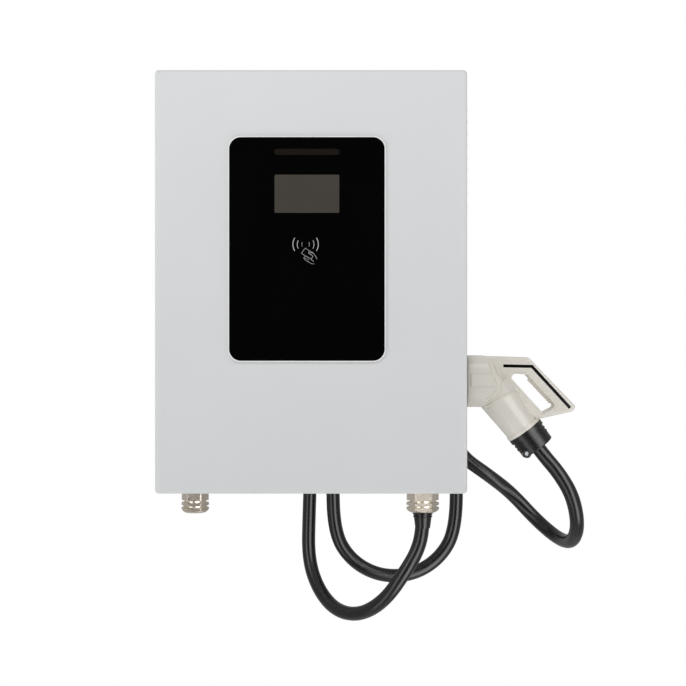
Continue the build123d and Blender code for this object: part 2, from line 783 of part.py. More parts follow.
def gun_shell():
    slab = plate(outline(beside(grip_outline), 5), gun_y + grip_half, 2 * grip_half)
    faces = slab.faces().sort_by(Axis.Y)
    slab = fillet(faces[0].edges() + faces[-1].edges(), grip_edge_r)
    gun = slab + gun_barrel() + gun_neck()
    gun -= plate(outline(beside(hole_outline), hole_r), gun_y + barrel_w, 2 * barrel_w)
    gun -= [gun_cavity(), trigger_pocket()]
    for y in (gun_y - grip_half + stripe_t, gun_y + grip_half):
        gun -= plate(stripe_sketch(), y, stripe_t)
    face_y = gun_y - barrel_w / 2
    plate_x = (half_w + plate_out[0], half_w + plate_out[1])
    gun += block(plate_x, (face_y - plate_t, face_y + 1), plate_z)
    return gun


def shell_half(gun, side):
    reach = (gun_y, gun_y + side * 2 * barrel_w)
    return gun & block((0, box_w * 2), reach, (-box_h, box_h))


def gun_stripes():
    rears = (gun_y - grip_half + stripe_t, gun_y + grip_half)
    return Compound([plate(stripe_sketch(), y, stripe_t) for y in rears])


def gun_cap():
    base = neck_origin()
    cap = rod(base, neck_axis(), cap_flange_r, cap_flange_h) + rod(base, neck_axis(), cap_r, cap_len)
    end = cap.faces().sort_by(Axis(base, neck_axis()))[-1]
    cap = fillet(end.edges(), cap_edge_r)
    for along in cap_ridges:
        cap += rod(neck_origin(along), neck_axis(), cap_ridge_r, cap_ridge_h)
    x, z = boss_centre()
    cap += rod((x, gun_y - boss_out, z), (0, 1, 0), boss_r, boss_out)
    cap -= rod((x, gun_y - boss_out - 1, z), (0, 1, 0), screw_r, 1 + 2 * screw_sink)
    return cap - rod(neck_origin(cap_flange_h), neck_axis(), cable_r, cap_len)


def boss_centre():
    across, along = boss_at
    x, _, z = neck_origin(along)
    return x - neck_dir[1] * across, z + neck_dir[0] * across


def cap_screw():
    x, z = boss_centre()
    return rod((x, gun_y - boss_out + 2 * screw_sink, z), (0, -1, 0), screw_r, screw_sink)


def contact_spots():
    spots = []
    for radius, reach, angles in contact_rows:
        for a in angles:
            spots.append((radius, gun_y + reach * cos(radians(a)), barrel_z + reach * sin(radians(a))))
    return spots


def gun_nose():
    nose = rod((half_w - nose_in, gun_y, barrel_z), (1, 0, 0), nose_r, nose_in + barrel_start)
    nose = chamfer(nose.faces().sort_by(Axis.X)[0].edges(), 2)
    for radius, y, z in contact_spots():
        nose -= rod((half_w - nose_in - 1, y, z), (1, 0, 0), radius + contact_clear, contact_depth + 1)
    return nose


def gun_contacts():
    tip = half_w - nose_in + contact_tip
    return Compound([rod((tip, y, z), (1, 0, 0), radius, contact_depth - contact_tip)
                     for radius, y, z in contact_spots()])


def gun_holster():
    width, height, radius = holster_flange
    start = Plane(origin=(half_w, gun_y, barrel_z), x_dir=(0, 1, 0), z_dir=(1, 0, 0))
    flange = extrude(start * RectangleRounded(width, height, radius), amount=holster_flange_t)
    flange = fillet(flange.faces().sort_by(Axis.X)[-1].edges(), holster_edge_r)
    cup = rod((cup_end_x - cup_wall, gun_y, barrel_z), (1, 0, 0), cup_r + cup_wall, cup_depth + cup_wall)
    return flange + cup - rod((cup_end_x, gun_y, barrel_z), (1, 0, 0), cup_r, box_w)


def mounting_plate():
    x, z, thick = mount_plate
    return block((-x, x), (plate_y, plate_y + thick), (-z, z))


def plate_studs():
    x, z = stud_at
    return Compound([rod((sx * x, back_y - sheet, sz * z), (0, -1, 0), stud_r, plate_gap)
                     for sx in (-1, 1) for sz in (-1, 1)])


def module_ys():
    rear = plate_y - module_gap
    return rear - module_t, rear


def module_case():
    front, rear = module_ys()
    case = block(module_px, (front, rear), module_pz)
    case -= block((module_px[0] + case_t, module_px[1] - case_t), (front + case_t, rear - case_t),
                  (module_pz[0] + case_t, module_pz[1] - case_t))
    for x in fan_xs:
        case -= rod((x, (front + rear) / 2, module_pz[0] - 1), (0, 0, 1), fan_bore_r, 2 + case_t)
    pitch = (module_px[1] - module_px[0]) / (grille_slots + 1)
    for i in range(grille_slots):
        x = module_px[0] + (i + 1) * pitch
        slot = (x - grille_slot_w / 2, x + grille_slot_w / 2)
        case -= block(slot, (front + grille_in, rear - grille_in),
                      (module_pz[1] - 2 * case_t, module_pz[1] + 1))
    return case


def module_heatsink():
    front, rear = module_ys()
    left, right = module_px[0] + sink_margin, module_px[1] - sink_margin
    sink = block((left, right), (rear - case_t - sink_base, rear - case_t), sink_pz)
    pitch = (right - left - sink_fin_t) / (sink_fins - 1)
    for i in range(sink_fins):
        x = left + i * pitch
        sink += block((x, x + sink_fin_t), (front + sink_margin, rear - case_t - sink_base), sink_pz)
    return sink


def module_brackets():
    _, rear = module_ys()
    x = (module_px[0] + bracket_in, module_px[1] - bracket_in)
    return Compound([block(x, (rear, plate_y), (z, z + bracket_h)) for z in bracket_pz])


def fan_centre(x):
    front, rear = module_ys()
    return x, (front + rear) / 2, module_pz[0] - fan_depth


def fan_frame(x):
    cx, cy, cz = fan_centre(x)
    half = fan_size / 2
    body = block((cx - half, cx + half), (cy - half, cy + half), (cz, cz + fan_depth))
    body = fillet(body.edges().filter_by(Axis.Z), fan_corner_r)
    body -= rod((cx, cy, cz - 1), (0, 0, 1), fan_bore_r, fan_depth + 2)
    top = cz + fan_depth
    for turn in (45, 135):
        spoke = Box(2 * (fan_bore_r + 1), spoke_w, fan_back)
        body += Pos(cx, cy, top - fan_back / 2) * Rot(0, 0, turn) * spoke
    body += rod((cx, cy, top), (0, 0, -1), hub_r, fan_back)
    return body + rod((cx, cy, top), (0, 0, -1), pin_r, fan_depth - fan_back - fan_lip)


def fan_rotor(x):
    cx, cy, cz = fan_centre(x)
    hub_len = fan_depth - fan_back - fan_lip - 2 * rotor_gap
    rotor = rod((cx, cy, cz + fan_lip), (0, 0, 1), hub_r, hub_len)
    span = blade_tip_r - hub_r + blade_root
    blade = Pos(blade_tip_r - span / 2, 0, 0) * Rot(blade_pitch, 0, 0) * Box(span, blade_chord, blade_t)
    middle = Pos(cx, cy, cz + (fan_depth - fan_back) / 2)
    for i in range(blade_count):
        rotor += middle * Rot(0, 0, i * 360 / blade_count) * blade
    return rotor - rod((cx, cy, cz + 2 * fan_lip), (0, 0, 1), pin_r + pin_clear, fan_depth)


def din_rail():
    y = (plate_y - din_t, plate_y)
    rail = block(din_px, (y[0], y[0] + din_t2), (rail_z - din_rib, rail_z + din_rib))
    for side in (-1, 1):
        inner, outer = rail_z + side * (din_rib - din_t2), rail_z + side * din_rib
        rail += block(din_px, y, (inner, outer))
        rail += block(din_px, (y[1] - din_t2, y[1]), (inner, rail_z + side * din_h / 2))
    return rail


def rail_device(px, depth=device_depth, nose=device_nose):
    rear = plate_y - din_t
    body = block(px, (rear - depth, rear), (rail_z - device_half, rail_z + device_half))
    return body + block(px, (rear - nose, rear - depth), (rail_z - nose_half, rail_z + nose_half))


def toggle_axis():
    return plate_y - din_t - device_nose + toggle_r + 1


def input_breaker():
    mid = sum(breaker_px) / 2
    slot = (mid - toggle_half - toggle_clear, mid + toggle_half + toggle_clear)
    body = rail_device(breaker_px)
    y = toggle_axis()
    body -= rod((slot[0], y, rail_z), (1, 0, 0), toggle_r + toggle_clear, slot[1] - slot[0])
    return body - block(slot, (y - 2 * toggle_r, y), (rail_z - toggle_slot, rail_z + toggle_slot))


def breaker_toggle():
    mid = sum(breaker_px) / 2
    y = toggle_axis()
    drum = rod((mid - toggle_half, y, rail_z), (1, 0, 0), toggle_r, 2 * toggle_half)
    lever = block((mid - toggle_half, mid + toggle_half), (-toggle_r - toggle_len, 0),
                  (-toggle_t / 2, toggle_t / 2))
    return drum + Pos(0, y, rail_z) * Rot(-toggle_rest, 0, 0) * lever


def surge_protector():
    body = rail_device(surge_px)
    pitch = (surge_px[1] - surge_px[0]) / surge_modules
    top = plate_y - din_t - device_nose
    for i in range(1, surge_modules):
        x = surge_px[0] + i * pitch
        body -= block((x - surge_groove / 2, x + surge_groove / 2), (top - 1, top + surge_groove_t),
                      (rail_z - nose_half - 1, rail_z + nose_half + 1))
    return body


def input_contactor():
    body = rail_device(contactor_px, device_depth + contactor_step, supply_depth)
    top = plate_y - din_t - supply_depth
    mid = sum(contactor_px) / 2
    wide, high, sink = contactor_flag
    return body - block((mid - wide / 2, mid + wide / 2), (top - 1, top + sink),
                        (rail_z - high / 2, rail_z + high / 2))


def auxiliary_supply():
    rear = plate_y - din_t
    body = block(supply_px, (rear - supply_depth, rear), (rail_z - device_half, rail_z + device_half))
    y = (rear - supply_depth + vent_front, rear - vent_rear)
    for i in range(vent_count):
        z = rail_z + (i - (vent_count - 1) / 2) * vent_pitch
        body -= block((supply_px[0] - 1, supply_px[0] + vent_sink), y, (z - vent_h / 2, z + vent_h / 2))
    return body


def terminal_block():
    body = block(terminal_px, (plate_y - terminal_depth, plate_y), terminal_pz)
    pitch = (terminal_px[1] - terminal_px[0]) / terminal_count
    for i in range(terminal_count):
        x = terminal_px[0] + (i + 0.5) * pitch
        front = plate_y - terminal_depth
        middle = sum(terminal_pz) / 2
        body -= rod((x, front - 1, middle), (0, 1, 0), terminal_screw_r, terminal_screw_t + 1)
        wire = (x, front + terminal_wire_in, terminal_pz[0] - 1)
        body -= rod(wire, (0, 0, 1), terminal_wire_r, terminal_wire_t + 1)
    return body


def earth_bar():
    y = plate_y - earth_lift
    bar = block(earth_px, (y - earth_t, y), (earth_z - earth_h / 2, earth_z + earth_h / 2))
    pitch = (earth_px[1] - earth_px[0]) / earth_holes
    for i in range(earth_holes):
        x = earth_px[0] + (i + 0.5) * pitch
        bar -= rod((x, y - earth_t - 1, earth_z), (0, 1, 0), earth_hole_r, earth_t + 2)
    for x in (earth_px[0] + earth_foot_in, earth_px[1] - earth_foot_in):
        bar += rod((x, y, earth_z), (0, 1, 0), stud_r, earth_lift)
    return bar


def dc_contactor(x):
    half = dc_size / 2
    front = plate_y - dc_depth
    body = block((x - half, x + half), (front, plate_y), (dc_z - half, dc_z + half))
    body = fillet(body.edges().filter_by(Axis.Y), dc_corner_r)
    body += rod((x, front, dc_z), (0, -1, 0), dc_can_r, dc_can_h)
    pad_y = front - dc_can_h + dc_pad_sink
    half_pad = dc_pad / 2
    for z in (dc_z - dc_post_dz, dc_z + dc_post_dz):
        body += rod((x, pad_y, z), (0, -1, 0), dc_post_r, dc_post_h)
        body += block((x - half_pad, x + half_pad), (pad_y, front), (z - half_pad, z + half_pad))
    return body


def post_front():
    return plate_y - dc_depth - dc_can_h + dc_pad_sink - dc_post_h


def dc_fuse():
    y = plate_y - fuse_lift - fuse_r
    low, high = fuse_pz
    fuse = rod((fuse_px, y, low), (0, 0, 1), fuse_r, high - low)
    wide, thick, long = fuse_blade
    for z in ((low - long, low), (high, high + long)):
        fuse += block((fuse_px - wide / 2, fuse_px + wide / 2), (y - thick / 2, y + thick / 2), z)
    foot_w, foot_h, foot_in = fuse_foot
    for z in (low + foot_in, high - foot_in):
        fuse += block((fuse_px - foot_w / 2, fuse_px + foot_w / 2), (y, plate_y),
                      (z - foot_h / 2, z + foot_h / 2))
    return fuse


def busbars():
    half = bar_w / 2
    edge, right = module_px[1], dc_xs[1]
    fuse_y = plate_y - fuse_lift - fuse_r + fuse_blade[1] / 2
    fuse_face = (fuse_y, fuse_y + bar_t)
    post_face = (post_front() - bar_t, post_front())
    drop_z = dc_z + dc_post_dz
    fuse_x = (fuse_px - half, fuse_px + half)
    top_z = fuse_pz[1] + fuse_blade[2] - half
    upper = block((edge, fuse_px + half), fuse_face, (top_z - half, top_z + half))
    low_z = fuse_pz[0] - fuse_blade[2]
    step_z = low_z - bar_drop
    middle = block(fuse_x, fuse_face, (step_z, low_z + bar_lap))
    middle += block(fuse_x, (post_face[0], fuse_face[1]), (step_z, step_z + bar_t))
    middle += block(fuse_x, post_face, (drop_z - half, step_z + bar_t))
    rise_z = drop_z + bar_rise
    lower = block((right - half, right + half), post_face, (drop_z - half, rise_z))
    lower += block((edge, right + half), post_face, (rise_z, rise_z + bar_w))
    return Compound([upper, middle, lower])


def dc_leads():
    x0 = output_gland[0]
    low = -half_h + inner_end_len + gland_thread_up
    post_y = post_front() - lead_r
    behind = gun_y + cup_r + cup_wall + lead_pass
    leads = []
    for x, dx in zip(dc_xs, (-lead_apart, lead_apart)):
        near = x0 + dx
        points = [(near, gland_y, low), (near, gland_y, low + lead_rise), (near, behind, low + 3 * lead_rise),
                  (near, behind + lead_r, low + 6 * lead_rise),
                  (x + dx, behind + 2 * lead_r, dc_z - lead_drop[0]),
                  (x, post_y, dc_z - lead_drop[1]), (x, post_y, dc_z - dc_post_dz + lead_lap)]
        path = FilletPolyline(*points, radius=[0.8 * r for r in bend_radii(points)])
        leads.append(sweep(Plane(origin=path @ 0, z_dir=path % 0) * Circle(lead_r), path=path))
    return Compound(leads)


def filter_pads():
    pads = []
    for side, (low, count) in louvre_rows.items():
        wall = side * (half_w - sheet)
        high = low + (count - 1) * louvre_pitch + louvre_h
        y = (louvre_mid_y - louvre_len / 2 - filter_margin, louvre_mid_y + louvre_len / 2 + filter_margin)
        pads.append(block((wall - side * filter_t, wall), y, (low - filter_margin, high + filter_margin)))
    return Compound(pads)


def build_nodes():
    gun = gun_shell()
    glands = (supply_gland, output_gland)
    inserts = {"light_bar": light_window(), "display_window": screen_window()}
    nodes = {name: plate(sketch, front_y, panel_t) for name, sketch in inserts.items()}
    nodes.update({
        "cabinet_shell": cabinet_shell(),
        "filter_pads": filter_pads(),
        "upper_wall_rail": wall_rail(rail_zs[0]),
        "lower_wall_rail": wall_rail(rail_zs[1]),
        "frame_bolts": frame_bolts(),
        "cable_saddle": cable_saddle(),
        "front_door": front_door(),
        "door_gasket": door_gasket(),
        "front_panel": front_panel(),
        "panel_cover": panel_cover(),
        "display_module": display_module(),
        "light_board": light_board(),
        "reader_board": reader_board(),
        "control_board": control_board(),
        "hinge_body_leaves": Compound([hinge_body_leaf(z) for z in hinge_zs]),
        "hinge_door_leaves": Compound([hinge_door_leaf(z) for z in hinge_zs]),
        "hinge_pins": Compound([hinge_pin(z) for z in hinge_zs]),
        "lock_barrel": lock_barrel(),
        "lock_core": lock_core(),
        "lock_cam": lock_cam(),
        "lock_keeper": lock_keeper(),
        "gland_bodies": Compound([gland_body(spec) for spec in glands]),
        "gland_nuts": Compound([gland_nut(spec) for spec in glands]),
        "gland_locknuts": Compound([gland_locknut(spec) for spec in glands]),
        "supply_seal": supply_seal(),
        "output_seal": output_seal(),
        "cable_inner_end": cable_inner_end(),
        "cable_sleeve": cable_sleeve(),
        "charging_cable": charging_cable(),
        "gun_shell_front": shell_half(gun, -1),
        "gun_shell_rear": shell_half(gun, 1),
        "gun_stripes": gun_stripes(),
        "gun_cap": gun_cap(),
        "gun_cap_screw": cap_screw(),
        "gun_nose": gun_nose(),
        "gun_contacts": gun_contacts(),
        "release_trigger": release_trigger(),
        "gun_holster": gun_holster(),
        "mounting_plate": mounting_plate(),
        "plate_studs": plate_studs(),
        "power_module_case": module_case(),
        "power_module_heatsink": module_heatsink(),
        "module_brackets": module_brackets(),
        "fan_frames": Compound([fan_frame(x) for x in fan_xs]),
        "fan_rotor_left": fan_rotor(fan_xs[0]),
        "fan_rotor_right": fan_rotor(fan_xs[1]),
        "din_rail": din_rail(),
        "input_breaker": input_breaker(),
        "breaker_toggle": breaker_toggle(),
        "surge_protector": surge_protector(),
        "input_contactor": input_contactor(),
        "auxiliary_supply": auxiliary_supply(),
        "terminal_block": terminal_block(),
        "earth_bar": earth_bar(),
        "dc_contactors": Compound([dc_contactor(x) for x in dc_xs]),
        "dc_fuse": dc_fuse(),
        "busbars": busbars(),
        "dc_leads": dc_leads(),
    })
    return nodes


os.makedirs("parts", exist_ok=True)
for name, shape in build_nodes().items():
    export_step(Pos(0, 0, box_mid_z) * shape, f"parts/{name}.step")
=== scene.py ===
import bpy
import math
import numpy as np
from mathutils import Matrix


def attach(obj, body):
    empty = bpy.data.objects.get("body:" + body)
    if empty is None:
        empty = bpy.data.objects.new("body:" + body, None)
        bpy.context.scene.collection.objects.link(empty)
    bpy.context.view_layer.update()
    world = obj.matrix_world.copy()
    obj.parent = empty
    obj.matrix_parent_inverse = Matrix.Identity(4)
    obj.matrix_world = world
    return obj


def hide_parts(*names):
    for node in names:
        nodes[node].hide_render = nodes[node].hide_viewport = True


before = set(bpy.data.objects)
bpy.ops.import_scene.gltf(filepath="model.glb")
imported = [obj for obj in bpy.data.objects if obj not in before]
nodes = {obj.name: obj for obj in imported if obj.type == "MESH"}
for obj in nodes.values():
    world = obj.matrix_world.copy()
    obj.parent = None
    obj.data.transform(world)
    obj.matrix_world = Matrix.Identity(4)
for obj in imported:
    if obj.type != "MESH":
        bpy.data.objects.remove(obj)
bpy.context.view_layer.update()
mm = 0.001
midZ = -200.0  # the drawing's zero height, below the wall bolts
print("stage: frame loaded")


def place(x, y, z):
    # drawing millimetres to metres in the shared frame, for single numbers and for whole arrays
    return np.stack(np.broadcast_arrays(x, y, np.add(z, midZ)), -1) * mm


def linear(hexText):
    # sRGB hex to linear light, with full alpha
    parts = [int(hexText[i:i + 2], 16) / 255 for i in (1, 3, 5)]
    return [c / 12.92 if c <= 0.04045 else ((c + 0.055) / 1.055) ** 2.4 for c in parts] + [1.0]


def addNode(tree, kind, inputs=None, **fields):
    # one node with its settings; an input is a value or another node's output
    node = tree.nodes.new(kind)
    for key, value in fields.items():
        setattr(node, key, value)
    for key, value in (inputs or {}).items():
        socket = node.inputs[key]
        if isinstance(value, bpy.types.NodeSocket):
            tree.links.new(value, socket)
        else:
            socket.default_value = value
    return node


def gridMesh(name, points, closeU=False, closeV=True, material=None, body=None, smooth=True):
    # a grid of points: quads between neighbours, wrapped where closed, and one wide face over each open end
    rows, columns = points.shape[:2]
    index = np.arange(rows * columns).reshape(rows, columns)
    rowsA = index if closeU else index[:-1]
    rowsB = np.roll(index, -1, 0) if closeU else index[1:]
    nextA = np.roll(rowsA, -1, 1)
    nextB = np.roll(rowsB, -1, 1)
    quads = np.stack([rowsA, rowsB, nextB, nextA], -1)
    if not closeV:
        quads = quads[:, :-1]
    faces = quads.reshape(-1, 4).tolist()
    if closeV and not closeU:
        faces += [index[0].tolist(), index[-1, ::-1].tolist()]
    mesh = bpy.data.meshes.new(name)
    mesh.from_pydata(points.reshape(-1, 3).tolist(), [], faces)
    mesh.polygons.foreach_set("use_smooth", np.full(len(mesh.polygons), smooth))
    mesh.update()
    obj = bpy.data.objects.new(name, mesh)
    bpy.context.scene.collection.objects.link(obj)
    if material:
        mesh.materials.append(material)
    if body:
        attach(obj, body)
    return obj


def sweepPoints(path, profile, up, closed=False):
    # each point of the path carries the profile: its first number goes sideways, its second along up
    ahead = np.roll(path, -1, 0) - np.roll(path, 1, 0)
    if not closed:
        ahead[0] = path[1] - path[0]
        ahead[-1] = path[-1] - path[-2]
    ahead /= np.linalg.norm(ahead, axis=1)[:, None]
    up = np.broadcast_to(np.asarray(up, float), path.shape)
    side = np.cross(ahead, up)
    side /= np.linalg.norm(side, axis=1)[:, None]
    top = np.cross(side, ahead)
    return path[:, None] + side[:, None] * profile[None, :, :1] + top[:, None] * profile[None, :, 1:]


def axisFrame(direction):
    # the axis itself and two directions square to it and to each other
    axis = np.asarray(direction, float) / np.linalg.norm(direction)
    helper = np.array([0, 1.0, 0]) if abs(axis[1]) < 0.9 else np.array([1.0, 0, 0])
    first = np.cross(helper, axis)
    first /= np.linalg.norm(first)
    return axis, first, np.cross(axis, first)


def lathePoints(profile, origin, direction, count):
    # profile of (radius, along) turned once about the axis
    axis, first, second = axisFrame(direction)
    turn = np.linspace(0, 2 * np.pi, count, endpoint=False)
    ring = np.cos(turn)[:, None] * first + np.sin(turn)[:, None] * second
    return origin + profile[:, None, 1:] * axis + profile[:, None, :1] * ring[None]


def facePath(line, x, y, z):
    # a flat line of (right, up) laid on the plane at depth y
    return place(x + line[:, 0], y, z + line[:, 1])


# camera: straight on to the door, two metres in front of it
lens = {"x": 47.0, "y": -2295.0, "z": -90.0, "focal": 71.4, "sensor": 36.0}


def makeCamera():
    camera = bpy.data.objects.new("camera", bpy.data.cameras.new("camera"))
    camera.data.lens = lens["focal"]
    camera.data.sensor_width = lens["sensor"]
    camera.location = place(lens["x"], lens["y"], lens["z"])
    camera.rotation_euler = (math.pi / 2, 0, 0)
    bpy.context.scene.collection.objects.link(camera)
    bpy.context.scene.camera = camera


# studio: white for the camera, a pale room for diffuse light, dark towards the camera for reflections
room = {"white": 1.0, "level": 0.10, "up": 0.10, "down": 1.15, "side": 0.44,
        "behind": 0.98, "behindFade": (-0.15, 0.45),
        "glossFront": 0.012, "glossSide": 0.42, "glossFade": (-0.985, -0.86), "boxFade": (-0.3, -0.5)}
# soft boxes that only reflections see: where they fade in and out from left to right, and how bright they are
softBoxes = {"right": {"side": (0.14, 0.30, 0.60, 0.80), "level": 3.9},
             "left": {"side": (-0.80, -0.66, -0.52, -0.38), "level": 1.8}}


def makeWorld():
    world = bpy.data.worlds.new("studio")
    bpy.context.scene.world = world
    world.use_nodes = True
    tree = world.node_tree
    tree.nodes.clear()
    ray = addNode(tree, "ShaderNodeLightPath")
    where = addNode(tree, "ShaderNodeTexCoord")
    axes = addNode(tree, "ShaderNodeSeparateXYZ", {0: where.outputs["Generated"]})
    depth = axes.outputs["Y"]
    # diffuse light: an even level, more of it from below, above and the sides, and one level from behind
    even = room["level"]
    for axis, share in (("Z", -room["down"]), ("Z", room["up"]), ("X", -room["side"]), ("X", room["side"])):
        reach = addNode(tree, "ShaderNodeMath", {0: axes.outputs[axis], 1: share}, operation="MULTIPLY")
        reach = addNode(tree, "ShaderNodeMath", {0: reach.outputs[0], 1: 0.0}, operation="MAXIMUM")
        even = addNode(tree, "ShaderNodeMath", {0: reach.outputs[0], 1: even}, operation="ADD").outputs[0]
    start, end = room["behindFade"]
    rear = addNode(tree, "ShaderNodeMapRange", {"Value": depth, "From Min": start, "From Max": end},
                   interpolation_type="SMOOTHSTEP")
    even = addNode(tree, "ShaderNodeMix", {0: rear.outputs[0], 2: even, 3: room["behind"]}).outputs[0]
    # reflections: dark round the camera, pale elsewhere, and the soft boxes in front of the part
    start, end = room["glossFade"]
    facing = addNode(tree, "ShaderNodeMapRange",
                     {"Value": depth, "From Min": start, "From Max": end, "To Min": room["glossFront"],
                      "To Max": room["glossSide"]}, interpolation_type="SMOOTHSTEP")
    start, end = room["boxFade"]
    ahead = addNode(tree, "ShaderNodeMapRange", {"Value": depth, "From Min": start, "From Max": end},
                    interpolation_type="SMOOTHSTEP")
    shine = facing.outputs[0]
    for box in softBoxes.values():
        outerLeft, innerLeft, innerRight, outerRight = box["side"]
        into = addNode(tree, "ShaderNodeMapRange",
                       {"Value": axes.outputs["X"], "From Min": outerLeft, "From Max": innerLeft},
                       interpolation_type="SMOOTHSTEP")
        out = addNode(tree, "ShaderNodeMapRange",
                      {"Value": axes.outputs["X"], "From Min": outerRight, "From Max": innerRight},
                      interpolation_type="SMOOTHSTEP")
        band = addNode(tree, "ShaderNodeMath", {0: into.outputs[0], 1: out.outputs[0]},
                       operation="MULTIPLY")
        part = addNode(tree, "ShaderNodeMath", {0: band.outputs[0], 1: ahead.outputs[0]},
                       operation="MULTIPLY")
        shine = addNode(tree, "ShaderNodeMath", {0: part.outputs[0], 1: box["level"], 2: shine},
                        operation="MULTIPLY_ADD").outputs[0]
    light = addNode(tree, "ShaderNodeMix", {0: ray.outputs["Is Glossy Ray"], 2: even, 3: shine})
    seen = addNode(tree, "ShaderNodeMath",
                   {0: ray.outputs["Is Camera Ray"], 1: ray.outputs["Is Transmission Ray"]},
                   operation="MAXIMUM")
    final = addNode(tree, "ShaderNodeMix", {0: seen.outputs[0], 2: light.outputs[0], 3: room["white"]})
    glow = addNode(tree, "ShaderNodeBackground", {"Color": final.outputs[0], "Strength": 1.0})
    addNode(tree, "ShaderNodeOutputWorld", {"Surface": glow.outputs[0]})


# lamps: place and aim in millimetres, width and height in metres, power in watts
lamps = {"keyLight": {"at": (-60, -2500, 1900), "aim": (0, -200, 0), "size": (1.0, 1.0), "power": 22},
         "sideLight": {"at": (-1200, -1500, 200), "aim": (0, -250, -50), "size": (0.6, 1.2), "power": 3.0}}


def makeLamps():
    for name, spec in lamps.items():
        lamp = bpy.data.lights.new(name, "AREA")
        lamp.shape = "ELLIPSE"
        lamp.size, lamp.size_y = spec["size"]
        lamp.energy = spec["power"]
        obj = bpy.data.objects.new(name, lamp)
        spot = place(*spec["at"])
        axis, first, second = axisFrame(spot - place(*spec["aim"]))
        upright = np.eye(4)
        upright[:3] = np.stack([second, -first, axis, spot], 1)
        obj.matrix_world = Matrix(upright.tolist())
        bpy.context.scene.collection.objects.link(obj)


# pale floor well under the part: it bounces light, and the camera sees it as white as the room
ground = {"half": 1.6, "z": -3.2, "paint": "#F8F8F6", "rough": 0.8}


def makeFloor():
    h, z = ground["half"], ground["z"]
    floor = gridMesh("floor", np.array([[[-h, -h, z], [-h, h, z]], [[h, -h, z], [h, h, z]]]), closeV=False)
    paint = bpy.data.materials.new("floorPaint")
    paint.use_nodes = True
    tree = paint.node_tree
    shader = tree.nodes["Principled BSDF"]
    shader.inputs["Base Color"].default_value = linear(ground["paint"])
    shader.inputs["Roughness"].default_value = ground["rough"]
    ray = addNode(tree, "ShaderNodeLightPath")
    white = addNode(tree, "ShaderNodeEmission", {"Strength": room["white"]})
    both = addNode(tree, "ShaderNodeMixShader",
                   {0: ray.outputs["Is Camera Ray"], 1: shader.outputs[0], 2: white.outputs[0]})
    tree.links.new(both.outputs[0], tree.nodes["Material Output"].inputs["Surface"])
    floor.data.materials.append(paint)


makeCamera()
makeWorld()
makeLamps()
makeFloor()
bpy.context.scene.view_settings.view_transform = "Standard"
print("stage: camera, room and lights")

